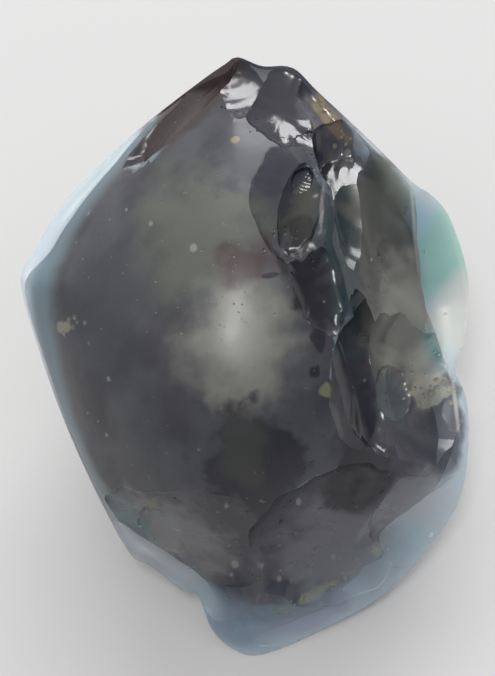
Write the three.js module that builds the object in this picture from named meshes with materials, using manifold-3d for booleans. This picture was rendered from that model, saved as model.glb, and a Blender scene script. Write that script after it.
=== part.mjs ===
// A tektite: one lump of dark natural glass, struck from a larger piece and lying on its back.
// It is a thick, pear-shaped flake with a broad domed face, a sharp rim all round and a crest at one
// end. Flake scars, the shallow shell-shaped hollows of broken glass, are cut into both sides.
//
// Millimetres. The shape is first described in the frame of its domed face: x goes across the face,
// u goes up its length to the crest, and d comes straight out of it. The face then leans back until it
// looks up at LEAN from the horizontal, and the underside is worn flat where it rests.
// The finished lump has +Z up, its crest towards +Y, and its origin under the middle of its outline.

import * as THREE from "three";
import { mergeVertices } from "three/addons/utils/BufferGeometryUtils.js";
import Module from "manifold-3d";

const LEAN = THREE.MathUtils.degToRad(65);
const REST_DEPTH = 25.4; // from the middle of the rim straight back to the flat that it rests on

const FACE_RISE = 18; // how far the dome stands out of the rim
const FACE_FULLNESS = 1.1; // 0.5 is a round edge, 1 a plain wedge, more than 1 a flared brim
const BACK_DROP = 37;
const BACK_DROP_PER_U = 0.5; // the back is deeper at the crest end
const BACK_FULLNESS = { brim: 2, crest: 1 }; // thin behind the brim, thick behind the crest
const CREST = { from: 22, to: 31 }; // where the rim turns from brim to crest, along u
const BRIM_FULLNESS = 0.7;
const BRIM_SHARE = 0.85; // of the brim's thickness, which no scar cuts into
const FAR_OFF = 200; // well clear of the lump

const MIDDLE = { x: -0.5, u: -1.5 }; // where the dome is highest
const CORE = { x: 27, u: 35 }; // the oval that the outline turns into towards the middle
const CORNER_FADE = 5; // how fast the rim's corners die out on the way in
const CALM = 0.05; // how far the rim's ups and downs are evened out for the dome, as a share of its length

const AROUND = 76; // steps round the blank
const BRIM_RINGS = 3;
const DOME_RINGS = 12;
const WALL = 0.2; // how far the step from the brim up to the dome leans in
const FACE_CROWDING = 1.2; // 1 spaces the rings of the dome evenly, and more crowds them to the rim
const BACK_CROWDING = 1.3;

// The rim, counterclockwise as seen from the front: [x, u, d, width of the thin brim inside it, how
// thick that brim would be if it went on to the middle].
const RIM = [
  [-1.2, 34.4, 4.0, 0.2, 3.2],
  [-2.8, 33.6, 3.5, 0.2, 3.2],
  [-5.9, 31.8, 1.5, 0.2, 3.2],
  [-12.3, 27.5, -2.0, 0.5, 3.2],
  [-17.4, 23.2, -3.0, 1.9, 3.2],
  [-23.7, 16.5, -2.5, 2.1, 3.2],
  [-26.3, 11.7, -1.0, 1.6, 3.2],
  [-28.1, 8.5, 0.0, 0.8, 3.2],
  [-28.2, 6.0, 0.0, 0.3, 3.2],
  [-26.9, 1.0, -0.5, 0.3, 3.2],
  [-23.6, -9.1, -1.5, 0.8, 3.2],
  [-19.3, -19.2, -2.5, 2.1, 4.0],
  [-15.0, -27.2, -3.0, 2.4, 4.0],
  [-12.4, -28.8, -3.0, 2.2, 4.0],
  [-8.2, -32.1, -3.5, 1.0, 4.0],
  [-6.4, -32.6, -4.0, 0.5, 4.0],
  [-4.5, -37.4, -5.0, 0.4, 4.0],
  [-1.5, -40.2, -6.0, 0.4, 4.0],
  [1.9, -40.7, -6.0, 0.4, 4.0],
  [9.3, -37.6, -6.0, 0.6, 4.0],
  [17.0, -33.3, -5.5, 2.2, 7.0],
  [22.7, -27.4, -4.5, 3.4, 8.0],
  [26.8, -20.9, -3.5, 2.4, 6.0],
  [28.0, -14.2, -3.0, 1.4, 4.0],
  [27.8, -7.9, -3.0, 1.3, 4.0],
  [26.3, -3.8, -3.0, 1.0, 3.0],
  [27.7, -0.5, -4.5, 3.0, 2.0],
  [28.5, 4.9, -6.0, 4.8, 2.5],
  [28.1, 9.4, -6.0, 5.2, 7.5],
  [25.9, 15.4, -5.0, 4.2, 9.5],
  [23.4, 18.1, -3.0, 2.4, 7.0],
  [20.7, 19.6, -1.0, 0.6, 4.0],
  [15.2, 24.6, 1.0, 0.6, 3.2],
  [8.7, 30.3, 3.0, 0.6, 3.2],
  [5.5, 33.1, 4.0, 0.3, 3.2],
  [1.8, 33.3, 4.0, 0.2, 3.2],
];

// Flake scars. at is a place on the face or the back, wide and long are half of the scar's own width
// and length there, and deep is its depth. turn swings its length from u towards x, in degrees, and
// tip adds to the direction that the surface already faces.
const FACE_SCARS = [
  { at: [-8, 28], tip: [-0.1, 0.5], wide: 2.7, long: 8, deep: 0.8, turn: 47 }, // left shoulder
  { at: [4.4, 28], tip: [0, -0.13], wide: 4.3, long: 5.3, deep: 1.5, turn: 0 }, // crest chip
  { at: [-1.4, 29.3], tip: [-0.05, 0.1], wide: 3.3, long: 3.9, deep: 0.8, turn: -15 }, // left crest chip
  { at: [9.4, 25.6], tip: [0.15, 0.1], wide: 2.3, long: 5.2, deep: 0.6, turn: -22 }, // beside the crest
  { at: [7.3, 23], tip: [-0.25, 0.3], wide: 1.5, long: 2.6, deep: 0.5, turn: -50 }, // under the crest
  { at: [18, 8], tip: [0.05, 0], wide: 8.8, long: 13.6, deep: 3.2, turn: -17 }, // right flank
  { at: [11.2, 16.4], tip: [0.15, 0], wide: 2.9, long: 6.6, deep: 1.3, turn: 13 }, // top of the flank
  { at: [11.7, 19.4], tip: [-0.25, 0.45], wide: 2.4, long: 3.9, deep: 0.5, turn: 5 }, // bright notch
  { at: [4.5, 17.8], tip: [0, 0], wide: 4.5, long: 7.2, deep: 0.8, turn: -8 }, // long scar
  { at: [6.2, 15.8], tip: [0.1, 0.12], wide: 2.5, long: 5.1, deep: 0.9, turn: 17 }, // small flake
  { at: [7.6, 6.5], tip: [0.1, 0], wide: 3.2, long: 5.9, deep: 1.1, turn: -24 }, // dark hollow
  { at: [18.6, -9.4], tip: [0.05, 0], wide: 9.4, long: 10.4, deep: 2.6, turn: 0 }, // lower flank
  { at: [13.3, -5.4], tip: [-0.05, 0], wide: 3.5, long: 6.8, deep: 0.8, turn: -12 }, // lens
  { at: [17.9, -7.2], tip: [0, 0.1], wide: 2.8, long: 3.4, deep: 0.6, turn: 10 }, // round scar
  { at: [-8.8, -26.4], tip: [-0.1, -0.1], wide: 10, long: 10.6, deep: 2.4, turn: 0 }, // lower left
  { at: [10.4, -25], tip: [0, -0.05], wide: 10, long: 11.4, deep: 2.3, turn: 0 }, // lower right
  { at: [21.8, -21.6], tip: [0.1, -0.05], wide: 6.6, long: 5.2, deep: 0.7, turn: 0 }, // corner facet
  { at: [5, -36.4], tip: [0, -0.1], wide: 9.6, long: 3.4, deep: 0.7, turn: 6 }, // foot
  { at: [-10, -22.6], tip: [0, 0], wide: 2.9, long: 3.8, deep: 0.5, turn: 10 }, // small scar
];
const FACE_BEND = 1 / 44; // the face curves away from a tangent by this much times distance squared

const BACK_SCARS = [
  { at: [-14, 11], tip: [0, 0], wide: 9, long: 10, deep: 2.2, turn: 35 },
  { at: [-13, -5], tip: [0, 0], wide: 7, long: 9, deep: 1.8, turn: -20 },
  { at: [-3, -17], tip: [0, 0], wide: 10, long: 6, deep: 1.6, turn: 0 },
  { at: [13, -9], tip: [0, 0], wide: 8, long: 9, deep: 2.0, turn: 25 },
  { at: [14, 6], tip: [0, 0], wide: 8, long: 10, deep: 2.2, turn: -10 },
  { at: [10, 19], tip: [0, 0], wide: 9, long: 9, deep: 2.0, turn: -30 },
  { at: [-4, 21], tip: [0, 0], wide: 9, long: 6.5, deep: 2.2, turn: 10 },
];
const BACK_BEND = 0;

const PROBE = 1.2; // half the distance over which the surface's slope is taken under a scar
const SCAR_REACH = 1.6; // a cutter goes on past its scar's edge by this factor
const SCAR_LIFT = 10; // how fast a cutter's underside rises past its scar's edge
const SCAR_LID = 7; // how thick a cutter is
const SCAR_STEEPNESS = 4; // how fast it reaches that from its own edge
const SCAR_AROUND = 18;
const SCAR_RINGS = 10;

const wasm = await Module();
wasm.setup();

// A closed three.js geometry as a solid that can be cut.
function solidOf(geometry) {
  const bare = geometry.clone();
  bare.deleteAttribute("normal");
  bare.deleteAttribute("uv");
  const merged = mergeVertices(bare, 1e-5);
  return new wasm.Manifold(
    new wasm.Mesh({
      numProp: 3,
      vertProperties: merged.attributes.position.array,
      triVerts: new Uint32Array(merged.index.array),
    }),
  );
}

// A solid as a three.js geometry with flat facets.
function geometryOf(solid) {
  const mesh = solid.getMesh();
  const geometry = new THREE.BufferGeometry();
  geometry.setAttribute("position", new THREE.BufferAttribute(mesh.vertProperties, 3));
  geometry.setIndex(new THREE.BufferAttribute(mesh.triVerts, 1));
  return geometry;
}

// Moves each vertex of a unit sphere to place(turn, height), where turn runs 0 to 1 round the pole and
// height runs from 1 at one pole, through 0 at the equator, to -1 at the other.
function reshapedSphere(around, rings, place) {
  const sphere = new THREE.SphereGeometry(1, around, rings);
  const { position, uv } = sphere.attributes;
  const point = new THREE.Vector3();
  for (let i = 0; i < position.count; i += 1) {
    const height = 2 * uv.getY(i) - 1;
    const turn = Math.abs(height) === 1 ? 0 : uv.getX(i) % 1;
    place(turn, height, point);
    position.setXYZ(i, point.x, point.y, point.z);
  }
  return sphere;
}

// How far out of the middle each ring of the face is, as a share of the way to the rim, and whether it
// is on the brim.
function faceRing(ring, reach, brim) {
  if (ring <= BRIM_RINGS) return { out: 1 - (brim / reach) * (ring / BRIM_RINGS), thin: true };
  const top = 1 - (brim + WALL) / reach;
  const inward = (ring - BRIM_RINGS - 1) / (DOME_RINGS - 1);
  return { out: top * (1 - inward ** FACE_CROWDING), thin: false };
}

// The rim at even steps round it: where it is, and how wide its thin brim is and how thick that grows.
function rimSteps() {
  const corners = RIM.map(([x, u, d]) => new THREE.Vector3(x, u, d));
  const outline = new THREE.CatmullRomCurve3(corners, true, "catmullrom", 0.5);
  const steps = [];
  for (let step = 0; step < AROUND; step += 1) {
    const t = outline.getUtoTmapping(step / AROUND);
    const place = t * RIM.length;
    const last = Math.floor(place);
    const before = RIM[last % RIM.length];
    const after = RIM[(last + 1) % RIM.length];
    const brim = THREE.MathUtils.lerp(before[3], after[3], place - last);
    const growth = THREE.MathUtils.lerp(before[4], after[4], place - last);
    steps.push({ corner: outline.getPoint(t), brim, growth });
  }
  return steps;
}

// The rim's height at each step, evened out round it, so that its corners leave no creases in the dome.
function calmHeights(steps) {
  const spread = CALM * AROUND;
  const reach = Math.round(3 * spread);
  return steps.map((_, place) => {
    let sum = 0;
    let total = 0;
    for (let off = -reach; off <= reach; off += 1) {
      const weight = Math.exp(-((off / spread) ** 2) / 2);
      sum += weight * steps[(place + off + AROUND) % AROUND].corner.z;
      total += weight;
    }
    return sum / total;
  });
}

// The unflaked lump: a dome on the face and a deeper one on the back, which meet in the sharp rim. Inside
// the rim the face is a thin brim that steps up to the dome. With brimOnly the face is all thin brim, and
// the solid goes on far behind the back.
function blankGeometry(brimOnly = false) {
  const steps = rimSteps();
  const calm = calmHeights(steps);
  const rings = BRIM_RINGS + DOME_RINGS;
  return reshapedSphere(AROUND, 2 * rings, (turn, height, point) => {
    const step = Math.round(turn * AROUND) % AROUND;
    const { corner, brim, growth } = steps[step];
    const across = corner.x - MIDDLE.x;
    const up = corner.y - MIDDLE.u;
    const ring = Math.round(Math.abs(height) * rings);
    const plain = { out: 1 - Math.abs(height) ** BACK_CROWDING, thin: brimOnly };
    const { out, thin } = height < 0 || brimOnly ? plain : faceRing(ring, Math.hypot(across, up), brim);
    const angle = Math.atan2(up / CORE.u, across / CORE.x);
    const sharp = out ** CORNER_FADE;
    point.x = MIDDLE.x + out * THREE.MathUtils.lerp(CORE.x * Math.cos(angle), across, sharp);
    point.y = MIDDLE.u + out * THREE.MathUtils.lerp(CORE.u * Math.sin(angle), up, sharp);
    const tilt = out * out * THREE.MathUtils.lerp(calm[step], corner.z, sharp);
    const swell = 1 - out * out;
    const crest = THREE.MathUtils.smoothstep(corner.y, CREST.from, CREST.to);
    const fullness = THREE.MathUtils.lerp(BACK_FULLNESS.brim, BACK_FULLNESS.crest, crest);
    const back = tilt - (BACK_DROP + BACK_DROP_PER_U * point.y) * swell ** fullness;
    const sliver = growth * swell ** BRIM_FULLNESS;
    point.z = brimOnly && height < 0 ? -FAR_OFF : back;
    if (height > 0 && thin) point.z = back + sliver * (brimOnly ? BRIM_SHARE : 1);
    if (height > 0 && !thin) point.z = tilt + FACE_RISE * swell ** FACE_FULLNESS;
  });
}

// The bowl that takes one scar out of a surface through its local origin, facing local +y. The surface
// itself bends away, so that the scar keeps the width and length that it is given. Past the scar's edge
// the bowl rises clear of the surface.
function scarGeometry({ wide, long, deep }, bend) {
  return reshapedSphere(SCAR_AROUND, SCAR_RINGS, (turn, height, point) => {
    const angle = 2 * Math.PI * turn;
    const out = (1 - Math.abs(height)) * SCAR_REACH;
    point.x = -wide * out * Math.cos(angle);
    point.z = long * out * Math.sin(angle);
    const drop = (bend * (point.x ** 2 + point.z ** 2)) / Math.max(1, out ** 2);
    const floor = deep * (out ** 2 - 1) - drop + SCAR_LIFT * Math.max(0, out - 1) ** 2;
    point.y = floor + SCAR_LID * Math.min(1, SCAR_STEEPNESS * Math.max(0, height));
  });
}

// The point of the surface that a straight line meets first, coming along d from far off on one side.
function touch(lump, x, u, side) {
  const start = new THREE.Vector3(x, u, FAR_OFF * side);
  const hits = new THREE.Raycaster(start, new THREE.Vector3(0, 0, -side)).intersectObject(lump);
  return hits[0].point;
}

// A scar's bowl in its place on the lump as it is so far. The way that the surface faces there is taken
// between points a little way off, so that small facets don't turn the scar.
function placedScar(solid, scar, side, bend) {
  const lump = new THREE.Mesh(geometryOf(solid));
  lump.material.side = THREE.DoubleSide;
  const [x, u] = scar.at;
  const right = touch(lump, x + PROBE, u, side).sub(touch(lump, x - PROBE, u, side));
  const up = touch(lump, x, u + PROBE, side).sub(touch(lump, x, u - PROBE, side));
  const facing = right.cross(up).normalize().multiplyScalar(side);
  facing.x += scar.tip[0];
  facing.y += scar.tip[1];
  facing.normalize();
  const swing = THREE.MathUtils.degToRad(scar.turn);
  const along = new THREE.Vector3(Math.sin(swing), Math.cos(swing), 0);
  along.addScaledVector(facing, -along.dot(facing)).normalize();
  const across = new THREE.Vector3().crossVectors(facing, along);
  const frame = new THREE.Matrix4().makeBasis(across, facing, along).setPosition(touch(lump, x, u, side));
  return solidOf(scarGeometry(scar, bend).applyMatrix4(frame));
}

// Everything below the flat that the lump rests on, as a box in the leaning frame.
function restCutter() {
  return solidOf(new THREE.BoxGeometry(FAR_OFF, FAR_OFF, FAR_OFF).translate(0, 0, -FAR_OFF / 2));
}

function tektiteGeometry() {
  const blank = solidOf(blankGeometry());
  const brim = blank.intersect(solidOf(blankGeometry(true)));
  let lump = blank;
  for (const scar of FACE_SCARS) lump = lump.subtract(placedScar(lump, scar, 1, FACE_BEND));
  lump = lump.add(brim);
  for (const scar of BACK_SCARS) lump = lump.subtract(placedScar(lump, scar, -1, BACK_BEND));

  const leaning = geometryOf(lump);
  leaning.rotateX(Math.PI / 2 - LEAN);
  leaning.translate(0, 0, REST_DEPTH * Math.sin(LEAN));
  const rested = geometryOf(solidOf(leaning).subtract(restCutter()));

  rested.computeBoundingBox();
  const middle = rested.boundingBox.getCenter(new THREE.Vector3());
  rested.translate(-middle.x, -middle.y, 0);
  rested.computeVertexNormals();
  return rested;
}

const tektite = new THREE.Mesh(
  tektiteGeometry(),
  new THREE.MeshStandardMaterial({ color: 0x2b3135, roughness: 0.2, metalness: 0 }),
);
tektite.name = "tektite";

const part = new THREE.Group();
part.add(tektite);

export default part;
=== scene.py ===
"""The looks of a tektite, a lump of dark blue-green natural glass lying on its back.

The lump is modelled again here, finer than the solid that it stands for: a domed blank with a thin
sharp brim, flake scars with their ripples, chips at the crest, and the pits of its worn skin.

Lengths are in millimetres until the finished mesh is scaled to metres, and the studio, the camera
and the material's patterns are in metres. The shape is first described in the frame of its domed
face: x goes across the face, u goes up its length to the crest, and d comes straight out of it. The
face then leans back, and the underside is worn flat where it rests.
"""

import logging
import math
import random
from dataclasses import dataclass, field
from enum import Enum
from typing import Callable, Iterable, Sequence

import bmesh
import bpy
import numpy as np
from mathutils import Matrix, Vector, noise
from mathutils.bvhtree import BVHTree


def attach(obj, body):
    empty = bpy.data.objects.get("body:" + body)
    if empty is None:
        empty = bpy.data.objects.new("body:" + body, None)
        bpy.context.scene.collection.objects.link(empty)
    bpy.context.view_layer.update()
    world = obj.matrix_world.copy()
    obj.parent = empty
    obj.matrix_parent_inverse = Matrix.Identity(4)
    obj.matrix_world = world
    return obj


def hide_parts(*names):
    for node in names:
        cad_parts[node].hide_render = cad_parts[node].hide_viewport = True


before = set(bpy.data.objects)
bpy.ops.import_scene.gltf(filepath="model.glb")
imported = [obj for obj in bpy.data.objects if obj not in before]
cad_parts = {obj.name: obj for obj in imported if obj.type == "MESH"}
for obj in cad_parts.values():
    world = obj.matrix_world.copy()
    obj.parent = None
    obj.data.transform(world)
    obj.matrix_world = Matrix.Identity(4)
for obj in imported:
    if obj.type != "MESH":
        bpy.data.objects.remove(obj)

LOG = logging.getLogger("tektite")
MM = 0.001  # in metres
FAR_OFF = 200.0  # well clear of the lump, in millimetres

Pair = tuple[float, float]
Triple = tuple[float, float, float]
Socket = bpy.types.NodeSocket


def smoothstep(value: float, low: float, high: float) -> float:
    """Rise smoothly from 0 at low to 1 at high."""
    share = min(max((value - low) / (high - low), 0.0), 1.0)
    return share * share * (3.0 - 2.0 * share)


def lerp(first: float, second: float, share: float) -> float:
    """Mix two numbers, all of the second at a share of 1."""
    return first + (second - first) * share


@dataclass(frozen=True)
class FaceFrame:
    """The frame of the domed face, and how it stands in the frame of the resting lump.

    lean is how far the face looks up from the horizontal, and rest_depth is how far it is from the
    middle of the rim straight back to the flat that the lump rests on.
    """

    lean: float = math.radians(65)
    rest_depth: float = 25.4

    def to_resting(self) -> Matrix:
        """Give the matrix that lays the lump on its back, before it is centred."""
        lift = Matrix.Translation((0.0, 0.0, self.rest_depth * math.sin(self.lean)))
        return lift @ Matrix.Rotation(math.pi / 2 - self.lean, 4, "X")

    def outward(self) -> Vector:
        """Give the way that the face looks, once it leans back."""
        return Vector((0.0, -math.cos(self.lean), math.sin(self.lean)))


@dataclass
class Outline:
    """The rim, a closed smooth curve through its corners, counterclockwise from the front.

    Each corner is x, u, d, the width of the thin brim inside it, and how thick that brim would be if
    it went on to the middle. divisions is how finely the curve is measured.
    """

    corners: Sequence[tuple[float, float, float, float, float]]
    divisions: int = 200
    lengths: np.ndarray = field(init=False)

    def __post_init__(self) -> None:
        """Measure the curve, so that it can be walked by length."""
        points = np.array([self.point(i / self.divisions) for i in range(self.divisions + 1)])
        steps = np.linalg.norm(np.diff(points, axis=0), axis=1)
        self.lengths = np.concatenate([[0.0], np.cumsum(steps)])

    def point(self, share: float) -> Vector:
        """Give the curve's x, u and d.

        Args:
            share: how far round the curve, from 0 to 1, counted in corners.

        Returns:
            The point.
        """
        count = len(self.corners)
        place = share * count
        first = math.floor(place)
        ahead = place - first
        around = [Vector(self.corners[(first + step) % count][:3]) for step in (-1, 0, 1, 2)]
        start, end = around[1], around[2]
        leave, arrive = (end - around[0]) / 2, (around[3] - start) / 2
        bend = -3 * start + 3 * end - 2 * leave - arrive
        twist = 2 * start - 2 * end + leave + arrive
        return start + ahead * (leave + ahead * (bend + ahead * twist))

    def walk(self, turn: float) -> tuple[Vector, float, float]:
        """Go round the curve by length.

        Args:
            turn: how far round, from 0 to 1, counted in length.

        Returns:
            The point, and the brim's width and growth there.
        """
        shares = np.linspace(0.0, 1.0, self.divisions + 1)
        share = float(np.interp(turn * self.lengths[-1], self.lengths, shares))
        place = share * len(self.corners)
        last = math.floor(place)
        before = self.corners[last % len(self.corners)]
        after = self.corners[(last + 1) % len(self.corners)]
        width, growth = (lerp(before[item], after[item], place - last) for item in (3, 4))
        return self.point(share), width, growth


@dataclass(frozen=True)
class Surface:
    """What a cutter leaves on the lump's surface.

    fresh runs from 0, worn, to 1, glossy, and crust from 0, bare glass, to 1, pale dry mineral, which
    in the pale pits is partly painted glint. dark is 1 where even thin glass looks as dark as the
    whole lump.
    """

    fresh: float = 0.0
    crust: float = 0.0
    dark: float = 0.0

    def write(self, mesh: bpy.types.Mesh) -> None:
        """Write it on every face of a mesh, from where the cuts carry it to the lump.

        Args:
            mesh: the mesh.
        """
        for name, value in (("fresh", self.fresh), ("crust", self.crust), ("dark", self.dark)):
            mark = mesh.attributes.new(name, "FLOAT", "FACE")
            mark.data.foreach_set("value", [value] * len(mesh.polygons))


WORN = Surface()


def finished(shape: bmesh.types.BMesh, surface: Surface = WORN) -> bpy.types.Mesh:
    """Turn a bmesh into a mesh that carries its surface, and free it.

    Args:
        shape: the bmesh.
        surface: what it leaves on the lump.

    Returns:
        The mesh.
    """
    mesh = bpy.data.meshes.new("shape")
    shape.to_mesh(mesh)
    shape.free()
    surface.write(mesh)
    return mesh


def reshaped_sphere(
    around: int, rings: int, place: Callable[[float, float], Vector], surface: Surface = WORN
) -> bpy.types.Mesh:
    """Make a closed mesh by moving each vertex of a sphere.

    Args:
        around: steps round the pole.
        rings: steps from pole to pole.
        place: gives a vertex's place from its turn, 0 to 1 counterclockwise as seen from above, and
            its height, from 1 at the upper pole to -1 at the lower one.
        surface: what it leaves on the lump.

    Returns:
        The mesh.
    """
    shape = bmesh.new()
    bmesh.ops.create_uvsphere(shape, u_segments=around, v_segments=rings, radius=1.0)
    for vertex in shape.verts:
        x, y, z = vertex.co
        ring = round(math.acos(min(max(z, -1.0), 1.0)) / math.pi * rings)
        step = 0 if ring in (0, rings) else round(math.atan2(y, x) / math.tau * around)
        vertex.co = place((step % around) / around, 1.0 - 2.0 * ring / rings)
    return finished(shape, surface)


class Cut(Enum):
    """How a second solid changes the first."""

    TAKE_AWAY = "DIFFERENCE"
    ADD = "UNION"
    SHARE = "INTERSECT"


def carve(base: bpy.types.Object, tool: bpy.types.Mesh, cut: Cut) -> None:
    """Join or cut an object with a closed mesh.

    Args:
        base: the object, whose mesh is changed.
        tool: the mesh that is added, taken away or shared.
        cut: which of these is done.
    """
    helper = bpy.data.objects.new("helper", tool)
    bpy.context.scene.collection.objects.link(helper)
    modifier = base.modifiers.new("cut", "BOOLEAN")
    modifier.solver = "MANIFOLD"
    modifier.operation = cut.value
    modifier.object = helper
    depsgraph = bpy.context.evaluated_depsgraph_get()
    result = bpy.data.meshes.new_from_object(base.evaluated_get(depsgraph))
    base.modifiers.clear()
    base.data = result
    bpy.data.objects.remove(helper)


def tree_of(base: bpy.types.Object) -> BVHTree:
    """Index an object's faces for rays."""
    return BVHTree.FromObject(base, bpy.context.evaluated_depsgraph_get())


# The rim's corners, as Outline takes them.
RIM = (
    (-1.2, 34.4, 4.0, 0.2, 3.2),
    (-2.8, 33.6, 3.5, 0.2, 3.2),
    (-5.9, 31.8, 1.5, 0.2, 3.2),
    (-12.3, 27.5, -2.0, 0.5, 3.2),
    (-17.4, 23.2, -3.0, 1.9, 3.2),
    (-23.7, 16.5, -2.5, 2.1, 3.2),
    (-26.3, 11.7, -1.0, 1.6, 3.2),
    (-28.1, 8.5, 0.0, 0.8, 3.2),
    (-28.2, 6.0, 0.0, 0.3, 3.2),
    (-26.9, 1.0, -0.5, 0.3, 3.2),
    (-23.6, -9.1, -1.5, 0.8, 3.2),
    (-19.3, -19.2, -2.5, 2.1, 4.0),
    (-15.0, -27.2, -3.0, 2.4, 4.0),
    (-12.4, -28.8, -3.0, 2.2, 4.0),
    (-8.2, -32.1, -3.5, 1.0, 4.0),
    (-6.4, -32.6, -4.0, 0.5, 4.0),
    (-4.5, -37.4, -5.0, 0.4, 4.0),
    (-1.5, -40.2, -6.0, 0.4, 4.0),
    (1.9, -40.7, -6.0, 0.4, 4.0),
    (9.3, -37.6, -6.0, 0.6, 4.0),
    (17.0, -33.3, -5.5, 2.2, 7.0),
    (22.7, -27.4, -4.5, 3.4, 8.0),
    (26.8, -20.9, -3.5, 2.4, 6.0),
    (28.0, -14.2, -3.0, 1.4, 4.0),
    (27.8, -7.9, -3.0, 1.3, 4.0),
    (26.3, -3.8, -3.0, 1.0, 3.0),
    (27.7, -0.5, -4.5, 3.0, 2.0),
    (28.5, 4.9, -6.0, 4.8, 2.5),
    (28.1, 9.4, -6.0, 5.2, 7.5),
    (25.9, 15.4, -5.0, 4.2, 9.5),
    (23.4, 18.1, -3.0, 2.4, 7.0),
    (20.7, 19.6, -1.0, 0.6, 4.0),
    (15.2, 24.6, 1.0, 0.6, 3.2),
    (8.7, 30.3, 3.0, 0.6, 3.2),
    (5.5, 33.1, 4.0, 0.3, 3.2),
    (1.8, 33.3, 4.0, 0.2, 3.2),
)


@dataclass
class Blank:
    """The unflaked lump: a domed face and a deeper domed back, which meet in the sharp rim.

    Inside the rim the face is a thin brim that steps up to the dome, over the width of wall. A
    fullness of 0.5 is a round edge, 1 a plain wedge, and more a flared brim. back_fullness is the
    back's behind the brim and behind the crest, and crest is where along u one turns into the other.
    No scar cuts into brim_share of the brim's thickness. middle is where the dome is highest, core
    is the oval that the outline turns into towards it, and corner_fade is how fast the rim's corners
    die out on the way. A crowding of 1 spaces the rings evenly, and more crowds them to the rim.
    calm_share is how far the rim's ups and downs are evened out for the dome, as a share of its
    length. swells are the widths and heights of the worn skin's unevenness, and swell_onset is how
    fast it sets in from the rim.
    """

    outline: Outline = field(default_factory=lambda: Outline(RIM))
    face_rise: float = 18.0
    face_fullness: float = 1.1
    back_drop: float = 37.0
    back_drop_per_u: float = 0.5
    back_fullness: Pair = (2.0, 1.0)
    crest: Pair = (22.0, 31.0)
    brim_fullness: float = 0.7
    brim_share: float = 0.85
    middle: Pair = (-0.5, -1.5)
    core: Pair = (27.0, 35.0)
    corner_fade: float = 5.0
    around: int = 300
    brim_rings: int = 6
    dome_rings: int = 44
    wall: float = 0.2
    face_crowding: float = 1.2
    back_crowding: float = 1.3
    calm_share: float = 0.05
    swells: tuple[Pair, ...] = ((9.0, 0.16), (3.5, 0.05))
    swell_onset: float = 4.0

    def face_ring(self, ring: int, reach: float, brim: float) -> tuple[float, bool]:
        """Place one ring of the face.

        Args:
            ring: which ring, counted in from the rim.
            reach: how far the rim is from the middle.
            brim: the width of the brim.

        Returns:
            How far out the ring is, as a share of reach, and whether it is on the brim.
        """
        if ring <= self.brim_rings:
            return 1.0 - (brim / reach) * (ring / self.brim_rings), True
        top = 1.0 - (brim + self.wall) / reach
        inward = (ring - self.brim_rings - 1) / (self.dome_rings - 1)
        return top * (1.0 - inward**self.face_crowding), False

    def calmed(self, heights: Sequence[float]) -> list[float]:
        """Smooth a row of heights round the rim.

        Args:
            heights: the rim's own heights, one for each step round it.

        Returns:
            The smoothed heights.
        """
        spread = self.around * self.calm_share
        count = len(heights)
        reach = range(-int(3 * spread), int(3 * spread) + 1)
        weights = [math.exp(-((step / spread) ** 2) / 2) for step in reach]
        total = sum(weights)
        return [
            sum(weight * heights[(at + off) % count] for off, weight in zip(reach, weights)) / total
            for at in range(count)
        ]

    def unevenness(self, point: Vector) -> float:
        """Give how far a point of the worn skin stands out of the even dome."""
        return sum(height * noise.noise(point / width) for width, height in self.swells)

    def mesh(self, brim_only: bool = False) -> bpy.types.Mesh:
        """Make the blank.

        Args:
            brim_only: make the face all thin brim, and let the solid go on far behind the back.

        Returns:
            The closed mesh.
        """
        rings = self.brim_rings + self.dome_rings
        rim = [self.outline.walk(step / self.around) for step in range(self.around)]
        calm = self.calmed([corner.z for corner, _, _ in rim])
        centre = Vector((*self.middle, 0.0))

        def place(turn: float, height: float) -> Vector:
            """Place one vertex of the blank.

            Args:
                turn: how far round it is, from 0 to 1.
                height: from 1 at the middle of the face, through 0 at the rim, to -1 at the back's.

            Returns:
                Its place in the face's frame.
            """
            step = round(turn * self.around) % self.around
            corner_point, brim, growth = rim[step]
            edge = corner_point - centre
            ring = round(abs(height) * rings)
            if height < 0 or brim_only:
                out, thin = 1.0 - abs(height) ** self.back_crowding, brim_only
            else:
                out, thin = self.face_ring(ring, math.hypot(edge.x, edge.y), brim)
            angle = math.atan2(edge.y / self.core[1], edge.x / self.core[0])
            corner = out**self.corner_fade
            x = self.middle[0] + out * lerp(self.core[0] * math.cos(angle), edge.x, corner)
            u = self.middle[1] + out * lerp(self.core[1] * math.sin(angle), edge.y, corner)
            swell = 1.0 - out * out
            tilt = out * out * lerp(calm[step], edge.z, corner)
            crest = smoothstep(corner_point.y, *self.crest)
            fullness = lerp(*self.back_fullness, crest)
            back = tilt - (self.back_drop + self.back_drop_per_u * u) * swell**fullness
            sliver = growth * swell**self.brim_fullness
            if height < 0:
                return Vector((x, u, -FAR_OFF if brim_only else back))
            if height == 0:
                return Vector((x, u, back))
            if thin:
                return Vector((x, u, back + sliver * (self.brim_share if brim_only else 1.0)))
            dome = tilt + self.face_rise * swell**self.face_fullness
            uneven = min(1.0, self.swell_onset * swell) * self.unevenness(Vector((x, u, dome)))
            return Vector((x, u, dome + uneven))

        return reshaped_sphere(self.around, 2 * rings, place)


class Side(Enum):
    """The side of the lump that a scar is on, and the way along d that it looks."""

    FACE = 1
    BACK = -1


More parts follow.
